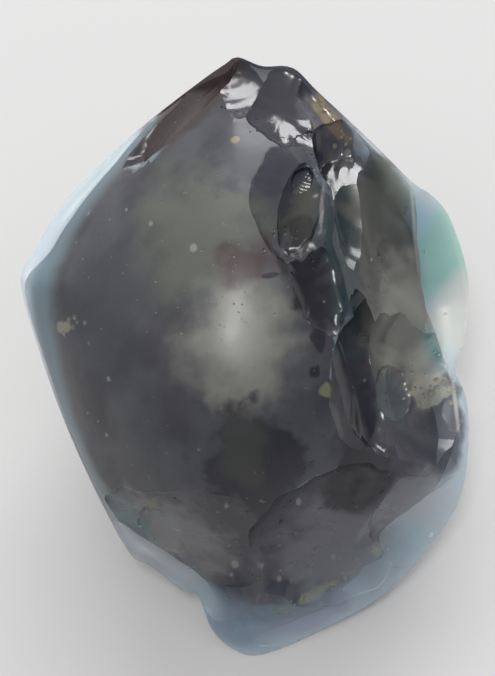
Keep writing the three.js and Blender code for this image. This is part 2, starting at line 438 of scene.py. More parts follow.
@dataclass(frozen=True)
class Scar:
    """A flake scar, the shallow shell-shaped hollow that a broken-off flake leaves.

    at is its place as x and u, wide and long are half of its width and length there, and deep is its
    depth. turn swings its length from u towards x, in degrees. tip adds to the way that the surface
    already faces, unless facing gives the way that the scar looks outright. fresh is 0 where it is
    as worn as the skin and 1 where it is glossy. dark is 1 where even thin glass looks dark. ripple
    is the height of its waves, which spread from beyond its upper end, and wave is their length.
    """

    name: str
    at: Pair
    wide: float
    long: float
    deep: float
    turn: float = 0.0
    tip: Pair = (0.0, 0.0)
    facing: Triple | None = None
    fresh: float = 0.3
    dark: float = 1.0
    ripple: float = 0.03
    wave: float = 1.7


@dataclass
class Chisel:
    """What takes the scars out of the lump, one after another.

    bend is how fast the surface curves away under a scar, and probe half the distance over which its
    slope is taken. The bowl that cuts goes on past the scar's edge by the factor reach, and rises
    there as fast as lift says. lid is its thickness, and lid_steepness how fast it reaches that.
    The waves spread from strike times half the scar's length above its middle. wander holds the
    paces and shares by which its edge wanders, and rough_cell and rough_height are the width and
    height of its floor's roughness.
    """

    side: Side
    bend: float
    probe: float = 1.2
    reach: float = 1.6
    lid: float = 7.0
    lid_steepness: float = 4.0
    lift: float = 10.0
    around: int = 72
    rings: int = 48
    strike: float = 2.5
    wander: tuple[Pair, ...] = ((1.6, 0.13), (4.5, 0.06))
    rough_cell: float = 2.2
    rough_height: float = 0.07

    def touch(self, tree: BVHTree, x: float, u: float) -> Vector:
        """Give the point of the surface that a straight line meets first, coming along d."""
        start = Vector((x, u, FAR_OFF * self.side.value))
        return tree.ray_cast(start, Vector((0.0, 0.0, -self.side.value)))[0]

    def frame_of(self, scar: Scar, tree: BVHTree) -> Matrix:
        """Set up a scar's own frame on the surface, as it is so far.

        Args:
            scar: the scar.
            tree: the surface.

        Returns:
            The frame, with local x across the scar, local y down its length and local z out of it.
        """
        x, u = scar.at
        right = self.touch(tree, x + self.probe, u) - self.touch(tree, x - self.probe, u)
        up = self.touch(tree, x, u + self.probe) - self.touch(tree, x, u - self.probe)
        facing = right.cross(up).normalized() * self.side.value
        facing = Vector(scar.facing or facing + Vector((*scar.tip, 0.0))).normalized()
        swing = math.radians(scar.turn)
        along = Vector((math.sin(swing), math.cos(swing), 0.0))
        along = (along - facing * along.dot(facing)).normalized()
        turned = Matrix((facing.cross(along), -along, facing)).transposed().to_4x4()
        return Matrix.Translation(self.touch(tree, x, u)) @ turned

    def floor(self, scar: Scar, x: float, y: float, sway: float) -> float:
        """Give the height of a scar's floor, and of the bowl past its edge.

        Args:
            scar: the scar.
            x: how far across the scar, in its own frame.
            y: how far down it.
            sway: how much wider than even the scar is, this way out from its middle.

        Returns:
            The height, out of the scar.
        """
        out = math.hypot(x / scar.wide, y / scar.long) / sway
        bowl = scar.deep * (out * out - 1.0) - self.bend * (x * x + y * y) / max(1.0, out * out)
        beyond = self.lift * max(0.0, out - 1.0) ** 2
        struck = math.hypot(x, y + self.strike * scar.long)
        waves = scar.ripple * math.sin(math.tau * struck / scar.wave)
        spot = Vector((x, y, scar.at[0] + scar.at[1])) / self.rough_cell
        return bowl + beyond + waves + self.rough_height * noise.noise(spot)

    def bowl(self, scar: Scar) -> bpy.types.Mesh:
        """Make the solid that takes a scar out.

        Args:
            scar: the scar.

        Returns:
            The closed mesh, in the scar's own frame.
        """

        def place(turn: float, height: float) -> Vector:
            """Place one vertex of the bowl.

            Args:
                turn: how far round it is, from 0 to 1.
                height: from 1 at the middle of the lid to -1 at the middle of the floor.

            Returns:
                Its place in the scar's frame.
            """
            angle = math.tau * turn
            ring = Vector((math.cos(angle), math.sin(angle), 0.0))
            seat = Vector((0.0, 0.0, scar.at[0] + scar.at[1]))
            drift = (share * noise.noise(ring * pace + seat) for pace, share in self.wander)
            sway = 1.0 + sum(drift)
            across = scar.wide * self.reach * sway * ring.x
            down = scar.long * self.reach * sway * ring.y
            x, y = across * (1.0 - abs(height)), down * (1.0 - abs(height))
            rise = self.lid * min(1.0, self.lid_steepness * height) if height > 0 else 0.0
            return Vector((x, y, self.floor(scar, x, y, sway) + rise))

        surface = Surface(fresh=scar.fresh, dark=scar.dark if self.side is Side.FACE else 0.0)
        return reshaped_sphere(self.around, self.rings, place, surface)


# A facet that looks this way, in the face's frame, mirrors the far lamp to the camera.
BRIGHT = (0.0, 0.62, 0.78)

FACE_SCARS = (
    Scar("left shoulder", (-8.0, 28.0), 2.7, 8.0, 0.8, 47, facing=(-0.55, 0.5, 0.67), ripple=0.0),
    Scar("crest chip", (4.4, 28.0), 4.3, 5.3, 1.5, 0, (0.0, -0.13), fresh=1.0, ripple=0.008),
    Scar(
        "crest chip on the left", (-1.4, 29.5), 3.3, 3.9, 0.7, -15, facing=(-0.05, 0.6, 0.79),
        fresh=1.0, ripple=0.012,
    ),
    Scar("dark band beside the crest", (9.4, 25.6), 2.3, 5.2, 0.6, -22, (0.15, 0.1), fresh=0.9),
    Scar(
        "chip under the crest", (8.0, 23.3), 1.4, 2.4, 0.25, -50, facing=BRIGHT, fresh=1.0,
        ripple=0.01,
    ),
    Scar("right flank", (18.0, 8.0), 8.8, 13.6, 3.2, -17, (0.05, 0.0), fresh=0.2),
    Scar("top of the flank", (11.2, 16.4), 2.9, 6.6, 1.3, 13, (0.15, 0.05), ripple=0.01),
    Scar("bright notch", (11.8, 19.4), 4.0, 3.0, 0.35, 84, facing=BRIGHT, fresh=1.0, wave=1.5),
    Scar(
        "long scar below the crest", (4.5, 17.8), 4.5, 7.2, 0.8, -8, (0.0, -0.16), fresh=0.5,
        ripple=0.0,
    ),
    Scar("small flake", (6.2, 15.8), 2.5, 5.1, 0.9, 17, (0.1, -0.05), fresh=0.8, ripple=0.01),
    Scar("streaks in the flake", (6.4, 18.3), 1.1, 1.8, 0.3, 28, (-0.1, 0.2), fresh=1.0, wave=0.5),
    Scar("dark hollow", (7.6, 6.5), 3.2, 5.9, 1.1, -24, (0.1, 0.0), fresh=0.7, ripple=0.01),
    Scar("lower flank", (18.6, -9.4), 9.4, 10.4, 2.6, 0, (0.05, 0.0)),
    Scar("dark lens", (13.3, -5.4), 3.5, 6.8, 0.8, -12, (-0.05, 0.0), fresh=0.8, ripple=0.01),
    Scar("round scar", (17.9, -7.2), 2.8, 3.4, 0.6, 10, (0.0, 0.1), fresh=0.7, ripple=0.01),
    Scar("lower left", (-7.2, -26.2), 12.0, 10.0, 2.4, 0, (-0.1, -0.1), fresh=0.4),
    Scar("lower right", (11.4, -25.2), 9.8, 9.8, 2.2, 0, (-0.12, 0.12), fresh=0.4),
    Scar("corner facet", (21.8, -21.6), 6.6, 5.2, 0.7, 0, (0.1, -0.05), fresh=0.5, dark=0.7),
    Scar("foot", (5.0, -36.4), 9.6, 3.4, 0.7, 6, (0.0, -0.1), fresh=0.5, dark=0.0),
    Scar("small scar", (-10.7, -24.0), 2.9, 4.2, 0.7, 10),
)

BACK_SCARS = (
    Scar("back left", (-14.0, 11.0), 9.0, 10.0, 2.2, 35),
    Scar("back left side", (-13.0, -5.0), 7.0, 9.0, 1.8, -20),
    Scar("back foot", (-3.0, -17.0), 10.0, 6.0, 1.6, 0),
    Scar("back right side", (13.0, -9.0), 8.0, 9.0, 2.0, 25),
    Scar("back right", (14.0, 6.0), 8.0, 10.0, 2.2, -10),
    Scar("back right of the crest", (10.0, 19.0), 9.0, 9.0, 2.0, -30),
    Scar("back of the crest", (-4.0, 21.0), 9.0, 6.5, 2.2, 10),
)


@dataclass(frozen=True)
class PitPatch:
    """A patch or row of small pits: the opened bubbles of the worn skin, or the chips along an edge.

    at is the middle of the patch as x and u, and spread is how far its pits scatter along and across
    it. turn swings its length from u towards x, in degrees. small and large are the smallest and
    largest radius, and deep is how deep a pit is against its radius.
    """

    name: str
    at: Pair
    spread: Pair
    count: int
    small: float
    large: float
    turn: float = 0.0
    deep: float = 0.5
    surface: Surface = WORN


CHIPPED = Surface(fresh=1.0)
# CRUSTED and SPECKED pits are pale: partly the dry mineral in them and partly painted glints.
CRUSTED = Surface(crust=1.0)
SPECKED = Surface(crust=0.5)

PIT_PATCHES = (
    PitPatch("skin", (-8.0, -2.0), (14.0, 11.0), 70, 0.08, 0.24, deep=0.3, surface=SPECKED),
    PitPatch("dome", (-2.0, 3.0), (3.0, 2.2), 34, 0.06, 0.16, deep=0.2, surface=CRUSTED),
    PitPatch("left cluster", (-20.9, 1.4), (0.8, 1.3), 7, 0.22, 0.45, surface=CRUSTED),
    PitPatch("below the crest", (3.5, 11.5), (1.5, 3.0), 14, 0.12, 0.3),
    PitPatch("upper left", (-12.0, 13.0), (5.0, 6.0), 14, 0.1, 0.3, deep=0.3, surface=SPECKED),
    PitPatch("right flank", (18.0, 4.0), (7.0, 3.5), 26, 0.12, 0.34),
    PitPatch("lower left", (-9.0, -23.0), (4.0, 5.0), 16, 0.15, 0.4, surface=CHIPPED),
    PitPatch("lower right", (8.0, -24.0), (5.0, 7.0), 26, 0.15, 0.4),
    PitPatch("beside the flank", (22.8, -6.6), (0.9, 1.9), 26, 0.25, 0.6, surface=CRUSTED),
    PitPatch(
        "crest lip on the left", (-0.6, 27.0), (1.4, 0.15), 14, 0.12, 0.34, 110, surface=CHIPPED
    ),
    PitPatch(
        "crest lip in the middle", (3.9, 24.2), (1.6, 0.15), 12, 0.12, 0.34, 98, surface=CHIPPED
    ),
    PitPatch(
        "crest lip on the right", (7.2, 22.2), (1.2, 0.15), 10, 0.12, 0.36, 128, surface=CHIPPED
    ),
    PitPatch("beside the dark band", (10.4, 26.6), (2.4, 0.5), 26, 0.2, 0.5, -36, surface=CRUSTED),
    PitPatch("foot of the flake", (4.6, 12.0), (0.8, 0.5), 10, 0.12, 0.36, 80, surface=CHIPPED),
    PitPatch("right ridge", (23.2, -0.5), (3.0, 0.2), 12, 0.12, 0.36, -28, surface=CHIPPED),
    PitPatch("lower ridge", (8.9, -32.2), (3.2, 0.3), 20, 0.15, 0.4, 63, surface=CRUSTED),
    PitPatch(
        "specks of the lower right", (4.0, -27.0), (2.6, 3.4), 14, 0.12, 0.34, surface=CRUSTED
    ),
    PitPatch(
        "specks by the lower ridge", (15.0, -27.0), (2.6, 0.8), 10, 0.12, 0.34, 60, surface=CRUSTED
    ),
)


@dataclass
class Drill:
    """What opens patches of pits in the face, by chance.

    steepest is the least that the surface may look out along d where a pit opens, and gap the least
    that is left between two pits of a patch. small_bias draws more small pits than large ones the
    higher it is. squash is how narrow a pit may be against its length, from most to least, and
    detail is how finely its ball is divided.
    """

    draws: random.Random
    steepest: float = 0.25
    gap: float = 0.05
    small_bias: int = 2
    squash: Pair = (0.6, 1.0)
    detail: int = 2

    def scattered(self, patch: PitPatch) -> Pair:
        """Draw the place of a pit.

        Args:
            patch: the patch that it belongs to.

        Returns:
            Its x and u.
        """
        along, across = (self.draws.gauss(0.0, width) for width in patch.spread)
        swing = math.radians(patch.turn)
        x = patch.at[0] + along * math.sin(swing) + across * math.cos(swing)
        u = patch.at[1] + along * math.cos(swing) - across * math.sin(swing)
        return x, u

    def open_patch(self, piece: bpy.types.Object, patch: PitPatch) -> None:
        """Open a patch of pits in the face.

        Args:
            piece: the lump so far.
            patch: where the pits are, and how large.
        """
        tree = tree_of(piece)
        pits = bmesh.new()
        taken: list[tuple[Vector, float]] = []
        for _ in range(patch.count):
            x, u = self.scattered(patch)
            radius = lerp(patch.small, patch.large, self.draws.random() ** self.small_bias)
            spin = self.draws.uniform(0.0, math.tau)
            place, facing, _, _ = tree.ray_cast(Vector((x, u, FAR_OFF)), Vector((0.0, 0.0, -1.0)))
            if place is None or facing.z < self.steepest:
                continue
            if any((place - other).length < radius + reach + self.gap for other, reach in taken):
                continue
            taken.append((place, radius))
            upright = facing.to_track_quat("Z", "Y").to_matrix().to_4x4()
            turned = upright @ Matrix.Rotation(spin, 4, "Z")
            squash = Matrix.Diagonal((1.0, self.draws.uniform(*self.squash), patch.deep, 1.0))
            stood = Matrix.Translation(place) @ turned @ squash
            bmesh.ops.create_icosphere(pits, subdivisions=self.detail, radius=radius, matrix=stood)
        carve(piece, finished(pits, patch.surface), Cut.TAKE_AWAY)


@dataclass
class Lump:
    """The whole lump, from its blank to its resting place.

    sharp_from is the angle from which an edge shows as sharp. skip is how far inside the surface the
    glass's thickness is measured from. middle is where the middle of the outline was, before it was
    centred over the origin.
    """

    name: str = "tektite_lump"
    stance: FaceFrame = field(default_factory=FaceFrame)
    blank: Blank = field(default_factory=Blank)
    face_chisel: Chisel = field(default_factory=lambda: Chisel(Side.FACE, 1 / 44))
    back_chisel: Chisel = field(default_factory=lambda: Chisel(Side.BACK, 0.0))
    sharp_from: float = math.radians(24)
    skip: float = 0.02
    seed: int = 11
    middle: Vector = field(default_factory=Vector)

    def cut_scars(self, piece: bpy.types.Object, scars: Iterable[Scar], chisel: Chisel) -> None:
        """Take a row of scars out of the lump, one after another.

        Args:
            piece: the lump so far.
            scars: the scars, in the order that they were struck.
            chisel: what cuts them.
        """
        for scar in scars:
            place = chisel.frame_of(scar, tree_of(piece))
            bowl = chisel.bowl(scar)
            bowl.transform(place)
            carve(piece, bowl, Cut.TAKE_AWAY)

    def rest(self, piece: bpy.types.Object) -> None:
        """Lean the lump back, wear its underside flat and centre its outline over the origin.

        Args:
            piece: the lump, in the frame of its face.
        """
        piece.data.transform(self.stance.to_resting())
        below = bmesh.new()
        bmesh.ops.create_cube(below, size=FAR_OFF)
        bmesh.ops.translate(below, vec=(0.0, 0.0, -FAR_OFF / 2), verts=below.verts)
        carve(piece, finished(below), Cut.TAKE_AWAY)
        places = np.array([vertex.co for vertex in piece.data.vertices])
        middle = (places.min(axis=0) + places.max(axis=0)) / 2
        self.middle = Vector((middle[0], middle[1], 0.0))
        piece.data.transform(Matrix.Translation(-self.middle))

    def depth_behind(self, tree: BVHTree, place: Vector, inward: Vector) -> float:
        """Give how far the glass goes on behind a place of its surface, one way."""
        return tree.ray_cast(place + inward * self.skip, inward)[3] or 0.0

    def mark_depth(self, piece: bpy.types.Object) -> None:
        """Write how thick the glass is behind each vertex, along the way that the face looks.

        Args:
            piece: the resting lump, in millimetres.
        """
        mesh = piece.data
        outward = self.stance.outward()
        tree = tree_of(piece)
        depths = []
        for vertex in mesh.vertices:
            inward = -outward if vertex.normal.dot(outward) > 0 else outward
            depths.append(self.depth_behind(tree, vertex.co, inward))
        thick = mesh.attributes.new("thick", "FLOAT", "POINT")
        thick.data.foreach_set("value", depths)

    def face_origin(self) -> Vector:
        """Give where the origin of the face's frame has come to lie."""
        return self.stance.to_resting().translation - self.middle

    def build(self) -> bpy.types.Object:
        """Make the lump.

        Returns:
            The finished piece.
        """
        piece = bpy.data.objects.new(self.name, self.blank.mesh())
        bpy.context.scene.collection.objects.link(piece)
        whole = piece.data.copy()
        carve(piece, self.blank.mesh(brim_only=True), Cut.SHARE)
        brim = piece.data
        piece.data = whole
        self.cut_scars(piece, FACE_SCARS, self.face_chisel)
        carve(piece, brim, Cut.ADD)
        self.cut_scars(piece, BACK_SCARS, self.back_chisel)
        drill = Drill(random.Random(self.seed))
        for patch in PIT_PATCHES:
            drill.open_patch(piece, patch)
        self.rest(piece)
        self.mark_depth(piece)
        mesh = piece.data
        mesh.transform(Matrix.Scale(MM, 4))
        mesh.name = self.name
        mesh.materials.clear()
        mesh.materials.append(TektiteGlass().material(self.face_origin() * MM, self.stance))
        mesh.shade_smooth()
        mesh.set_sharp_from_angle(angle=self.sharp_from)
        return piece


@dataclass
class NodeSheet:
    """A short way to write a material's nodes."""

    tree: bpy.types.NodeTree

    def __post_init__(self) -> None:
        """Start from an empty sheet."""
        self.tree.nodes.clear()

    def add(self, kind: str) -> bpy.types.Node:
        """Add one node."""
        return self.tree.nodes.new(kind)

    def join(self, source: object, socket: Socket) -> None:
        """Feed a socket.

        Args:
            source: another node's socket, a number or a colour.
            socket: what it feeds.
        """
        if isinstance(source, Socket):
            self.tree.links.new(source, socket)
        elif isinstance(source, tuple):
            socket.default_value = (*source, 1.0)
        else:
            socket.default_value = source

    def attribute(self, name: str) -> Socket:
        """Read a number that the mesh carries.

        Args:
            name: the attribute's name.

        Returns:
            The number.
        """
        node = self.add("ShaderNodeAttribute")
        node.attribute_name = name
        return node.outputs["Fac"]

    def noise(self, place: Socket, scale: float, detail: float) -> Socket:
        """Give a cloudy pattern.

        Args:
            place: the places.
            scale: its cells to the metre.
            detail: how many finer layers it has.

        Returns:
            The pattern, from 0 to 1.
        """
        node = self.add("ShaderNodeTexNoise")
        node.inputs["Scale"].default_value = scale
        node.inputs["Detail"].default_value = detail
        self.join(place, node.inputs["Vector"])
        return node.outputs["Fac"]

    def maths(self, operation: str, first: object, second: object) -> Socket:
        """Work out one sum.

        Args:
            operation: Blender's name for it.
            first: its first number.
            second: its second number.

        Returns:
            The result.
        """
        node = self.add("ShaderNodeMath")
        node.operation = operation
        self.join(first, node.inputs[0])
        self.join(second, node.inputs[1])
        return node.outputs["Value"]

    def ramped(self, value: Socket, low: float, high: float) -> Socket:
        """Turn a value into a share.

        Args:
            value: the value.
            low: where the share is 0.
            high: where it is 1.

        Returns:
            The share, which rises smoothly between the two.
        """
        node = self.add("ShaderNodeMapRange")
        node.interpolation_type = "SMOOTHSTEP"
        self.join(value, node.inputs["Value"])
        node.inputs["From Min"].default_value = low
        node.inputs["From Max"].default_value = high
        return node.outputs["Result"]

    def framed(self, place: Socket, origin: Vector, turn: Triple, scale: Triple) -> Socket:
        """Give places in a frame of their own.

        Args:
            place: the places.
            origin: where the frame starts.
            turn: how it is turned round x, y and z, in radians.
            scale: how long its three units are.

        Returns:
            The places in that frame.
        """
        node = self.add("ShaderNodeMapping")
        node.vector_type = "TEXTURE"
        self.join(place, node.inputs["Vector"])
        node.inputs["Location"].default_value = origin
        node.inputs["Rotation"].default_value = turn
        node.inputs["Scale"].default_value = scale
        return node.outputs["Vector"]

    def length(self, place: Socket) -> Socket:
        """Give how far a place is from its frame's origin.

        Args:
            place: the place.

        Returns:
            The distance, in the frame's units.
        """
        node = self.add("ShaderNodeVectorMath")
        node.operation = "LENGTH"
        self.join(place, node.inputs[0])
        return node.outputs["Value"]

    def mix_number(self, share: object, first: object, second: object) -> Socket:
        """Mix two numbers.

        Args:
            share: how much of the second there is, from 0 to 1.
            first: the first number.
            second: the second number.

        Returns:
            The mixed number.
        """
        node = self.add("ShaderNodeMix")
        node.data_type = "FLOAT"
        self.join(share, node.inputs[0])
        self.join(first, node.inputs[2])
        self.join(second, node.inputs[3])
        return node.outputs[0]

    def mix_colour(self, share: object, first: object, second: object) -> Socket:
        """Mix two colours.

        Args:
            share: how much of the second there is, from 0 to 1.
            first: the first colour.
            second: the second colour.

        Returns:
            The mixed colour.
        """
        node = self.add("ShaderNodeMix")
        node.data_type = "RGBA"
        self.join(share, node.inputs[0])
        self.join(first, node.inputs[6])
        self.join(second, node.inputs[7])
        return node.outputs[2]


@dataclass(frozen=True)
class Stain:
    """A patch of another colour on the lump.

    at is its middle as x, u and d, and size is half of its width, length and depth. turn swings its
    length from u towards x, in degrees. share is how much of its colour it gives, soft is how far its
    edge fades and ragged how far its edge wanders, both as shares of its size.
    """

    name: str
    at: Triple
    size: Triple
    colour: Triple
    share: float
    turn: float = 0.0
    soft: float = 0.5
    ragged: float = 0.4


# Colours that several stains share: painted shade on the right face, a painted highlight along the
# ridges, and painted shade in pits.
SHADED_FACE = (0.26, 0.27, 0.23)
RIDGE_HIGHLIGHT = (1.0, 0.97, 0.88)
PIT_SHADE = (0.06, 0.05, 0.08)

STAINS = (
    Stain("upper dome", (-6.0, 12.5, 13.0), (8.0, 8.5, 8.0), (0.5, 0.55, 0.42), 0.6, soft=0.9),
    Stain(
        "right face", (16.4, 9.0, 2.0), (5.4, 15.0, 9.0), SHADED_FACE, 0.93, -12, soft=0.3,
        ragged=0.15,
    ),
    Stain(
        "top of the right face", (15.8, 18.2, 2.0), (4.6, 5.8, 6.0), SHADED_FACE, 0.93, -40,
        soft=0.3, ragged=0.15,
    ),
    Stain(
        "lower flank", (21.5, -11.0, -1.0), (6.2, 9.0, 8.0), (0.16, 0.16, 0.2), 0.93, soft=0.25,
        ragged=0.15,
    ),
    Stain(
        "lower right body", (9.6, -21.0, 0.0), (9.4, 15.0, 9.0), (0.2, 0.2, 0.25), 0.9, 49,
        soft=0.2, ragged=0.1,
    ),
    Stain("left side", (-17.0, 3.0, 9.0), (6.0, 9.0, 8.0), (0.14, 0.15, 0.2), 0.7, soft=1.0),
    # The worn skin's haze on the dome, with the near lamp's glare painted into it as a pale patch.
    Stain("dome haze and painted glare", (-0.5, -0.4, 17.0), (5.6, 7.2, 6.0), (1.0, 1.0, 0.86), 0.95, soft=1.2),
    # Painted reflections of the pale floor on the lower scars, which face down towards it.
    Stain(
        "painted floor reflection, lower left", (-9.6, -24.0, 0.0), (8.0, 7.0, 9.0), (0.86, 0.83, 0.86), 0.8, soft=0.8
    ),
    Stain(
        "painted floor reflection, lower right", (11.5, -26.0, 0.0), (8.5, 7.0, 9.0), (0.66, 0.66, 0.72), 0.85, soft=0.8
    ),
    Stain("corner", (20.8, -20.2, -2.0), (5.2, 4.6, 6.0), (0.88, 0.88, 0.92), 0.9, soft=0.8),
    Stain(
        "right face haze", (20.2, 1.8, 1.0), (4.2, 8.0, 8.0), (1.0, 1.0, 0.88), 0.95, -10, soft=1.1
    ),
    Stain(
        "maroon", (0.3, 8.7, 16.5), (3.6, 2.2, 4.0), (0.16, 0.05, 0.07), 0.85, -20, soft=1.2,
        ragged=0.8,
    ),
    # Painted dark reflection over the middle of the face, which looks back at the camera.
    Stain(
        "central dark", (0.8, -14.6, 13.0), (6.2, 6.8, 7.0), (0.1, 0.1, 0.13), 0.9, -8, soft=0.4,
        ragged=0.5,
    ),
    Stain(
        "olive in the dark", (-0.4, -13.0, 14.0), (3.0, 4.0, 6.0), (0.3, 0.31, 0.25), 0.6, soft=0.9
    ),
    Stain(
        "navy", (3.0, 21.0, 9.0), (7.0, 5.0, 7.0), (0.08, 0.09, 0.15), 0.88, 10, soft=0.7,
        ragged=0.6,
    ),
    Stain("flake", (6.4, 14.6, 12.0), (2.2, 4.6, 5.0), (0.2, 0.2, 0.16), 0.9, 17),
    Stain("foot of the flake", (6.4, 13.0, 12.0), (1.5, 1.6, 5.0), (0.04, 0.05, 0.04), 0.9),
    # Painted dark reflection on the facet beside the hollow.
    Stain(
        "dark triangle", (7.3, 6.4, 14.0), (3.4, 6.0, 5.0), (0.02, 0.02, 0.03), 0.95, -24, soft=0.4
    ),
    # Painted dark reflection on the lens-shaped scar.
    Stain("dark lens", (13.2, -8.4, 8.0), (3.4, 10.5, 7.0), (0.06, 0.06, 0.09), 0.95, -6, soft=0.4),
    Stain("dark teal", (11.0, 9.0, 7.0), (2.9, 11.0, 8.0), (0.03, 0.1, 0.12), 0.92, -5),
    Stain(
        "brown crest", (-6.2, 29.2, 1.0), (3.4, 10.4, 7.0), (0.17, 0.11, 0.11), 0.94, 48, soft=0.4,
        ragged=0.3,
    ),
    Stain(
        "dark crest", (4.4, 28.6, 5.0), (7.4, 6.6, 7.0), (0.15, 0.15, 0.2), 0.93, soft=0.3,
        ragged=0.3,
    ),
    Stain(
        "dark band", (11.0, 25.0, 3.0), (2.8, 6.5, 6.0), (0.4, 0.39, 0.44), 0.92, -38, soft=0.4,
        ragged=0.3,
    ),
    Stain("rust", (10.4, 26.8, 2.5), (0.9, 3.2, 4.0), (1.0, 0.78, 0.46), 0.9, -36, ragged=0.8),
    # Pale, partly the crust and partly painted glints of the crumbly chips.
    Stain(
        "crumbly", (23.2, -6.4, -0.3), (2.4, 1.5, 4.0), (1.0, 0.97, 0.8), 0.9, soft=0.4, ragged=0.9
    ),
    Stain("round scar", (17.8, -7.6, 2.0), (2.0, 2.8, 4.0), (0.2, 0.3, 0.3), 0.8, soft=0.8),
    Stain("teal ridge", (24.0, -1.0, 0.0), (1.5, 3.0, 4.0), (0.2, 0.66, 0.6), 0.6, -20, soft=0.7),
    Stain(
        "lower ridge", (8.9, -32.2, -3.0), (0.6, 4.7, 4.0), (0.95, 0.92, 0.74), 0.75, 63, soft=0.8,
        ragged=0.9,
    ),
    Stain(
        "teal flange", (26.0, 11.5, -5.0), (4.4, 6.5, 5.0), (0.62, 0.95, 0.84), 0.9, 10, ragged=0.1
    ),
    Stain("clear flange", (27.2, 3.2, -6.0), (3.4, 5.6, 5.0), (1.0, 1.0, 0.94), 0.9, ragged=0.1),
    # Painted highlights along the three sharp ridges on the right.
    Stain(
        "bright ridge", (21.3, 11.6, 0.0), (0.3, 7.0, 5.0), RIDGE_HIGHLIGHT, 0.7, -6, soft=0.8,
        ragged=0.1,
    ),
    Stain(
        "bright ridge, lower", (24.2, -0.9, 0.0), (0.35, 4.6, 5.0), RIDGE_HIGHLIGHT, 0.7, -21, soft=0.8,
        ragged=0.1,
    ),
    Stain(
        "bright ridge at the foot", (26.3, -8.2, 0.0), (0.3, 4.2, 5.0), RIDGE_HIGHLIGHT, 0.8, -7,
        soft=0.8, ragged=0.1,
    ),
    # Painted shade in three pits.
    Stain("dark pit", (8.4, -0.3, 14.0), (0.9, 1.1, 4.0), PIT_SHADE, 0.9, soft=0.4, ragged=0.9),
    Stain(
        "dark pit, lower", (7.3, -3.8, 14.0), (0.8, 0.8, 4.0), PIT_SHADE, 0.9, soft=0.4, ragged=0.9
    ),
    Stain("lens pit", (2.6, 7.2, 16.0), (1.1, 0.4, 4.0), PIT_SHADE, 0.9, -10, soft=0.4, ragged=0.5),
    Stain("yellow spot", (9.0, -6.4, 12.0), (0.8, 1.0, 4.0), (0.8, 0.86, 0.45), 0.9, ragged=0.9),
    Stain("rust speck", (-1.4, 23.6, 8.0), (0.55, 0.5, 4.0), (1.0, 0.72, 0.44), 0.95, ragged=0.6),
    Stain(
        "pale cluster", (-22.2, 1.2, 4.0), (0.9, 0.7, 5.0), (1.0, 0.98, 0.8), 0.9, soft=0.6,
        ragged=1.0,
    ),
    Stain("pale speck", (-6.3, 10.5, 14.0), (0.4, 0.5, 4.0), (1.0, 1.0, 0.92), 0.9, ragged=0.6),
    # Painted dark reflection, carrying on below the lens.
    Stain(
        "below the lens", (13.6, -16.6, 4.0), (4.6, 5.6, 8.0), (0.07, 0.07, 0.1), 0.92, soft=0.3,
        ragged=0.2,
    ),
    Stain(
        "band below the lens", (15.7, -22.6, 1.0), (0.5, 3.6, 6.0), (0.95, 0.95, 0.92), 0.7, 35,
        soft=0.9, ragged=0.6,
    ),
    Stain(
        "rounded scar", (-10.4, -24.4, 0.0), (2.2, 3.4, 7.0), (1.0, 1.0, 1.0), 0.6, 8, soft=0.3,
        ragged=0.2,
    ),
    Stain(
        "teal at the left", (-15.2, -21.0, -1.0), (1.6, 5.0, 5.0), (0.5, 0.8, 0.8), 0.7, -38,
        soft=0.8,
    ),
    Stain(
        "foot", (-1.6, -36.2, -6.0), (6.0, 3.4, 7.0), (0.56, 0.65, 0.8), 0.7, soft=0.8, ragged=0.3
    ),
    Stain("violet foot", (8.6, -35.0, -6.0), (2.0, 6.0, 7.0), (0.7, 0.68, 0.84), 0.5, 64, soft=0.8),
    # Painted highlight along the flake's right edge.
    Stain(
        "bright edge of the flake", (8.8, 15.4, 8.0), (0.3, 2.7, 6.0), (1.0, 0.96, 1.0), 0.85, 4,
        soft=0.8, ragged=0.2,
    ),
    Stain("green spot", (-11.3, -20.4, 5.0), (0.8, 1.1, 4.0), (0.6, 0.66, 0.3), 0.6, ragged=0.8),
)

# Where the pale specks are, partly dust and partly painted glints of tiny pits, as x and u, and how
# large they are against the largest.
SPECK_PLACES = (
    (-2.5, -20.0, 0.5),
    (6.2, -19.9, 0.4),
    (-1.6, -28.1, 0.6),
    (1.6, -28.0, 0.6),
    (-2.0, -29.6, 0.45),
    (4.0, -30.1, 0.55),
    (16.5, -26.7, 1.0),
    (10.7, -27.1, 0.7),
    (-16.5, -4.8, 0.3),
    (-16.9, -11.6, 0.35),
    (-11.4, 13.5, 0.4),
    (-14.6, 15.5, 0.3),
    (15.2, 9.6, 0.3),
    (17.0, -4.0, 0.4),
    (22.8, 2.3, 0.35),
)


@dataclass(frozen=True)
class Speck:
    """The look of the pale specks, partly pale dust and partly painted glints of tiny pits, each a
    stain that reaches through the whole depth of the face.

    size is half of the largest speck's width and length, and deep half of its depth. middle_depth is
    the middle of that depth, along d.
    """

    size: Pair = (0.6, 0.8)
    middle_depth: float = 5.0
    deep: float = 14.0
    colour: Triple = (1.0, 0.98, 0.86)
    share: float = 0.9
    soft: float = 0.8
    ragged: float = 0.9

    def stain(self, number: int, x: float, u: float, size: float) -> Stain:
        """Make one speck.

        Args:
            number: its number, for its name.
            x: how far across the face it is.
            u: how far up the face it is.
            size: how large it is against the largest.

        Returns:
            The speck, as a stain.
        """
        spread = (self.size[0] * size, self.size[1] * size, self.deep)
        at = (x, u, self.middle_depth)
        return Stain(
            f"speck {number}", at, spread, self.colour, self.share, soft=self.soft, ragged=self.ragged
        )


SPECKS = tuple(Speck().stain(number, *place) for number, place in enumerate(SPECK_PLACES))


@dataclass(frozen=True)
class Marks:
    """What the glass is mixed from: the marks that the mesh carries, and the cloudy patterns.

    face gives places in the face's frame, in millimetres. mottle is the widest pattern and grain the
    finest, and cloud, which runs round 0, makes the stains' edges wander.
    """

    face: Socket
    fresh: Socket
    crust: Socket
    thick: Socket
    dark: Socket
    mottle: Socket
    grain: Socket
    cloud: Socket


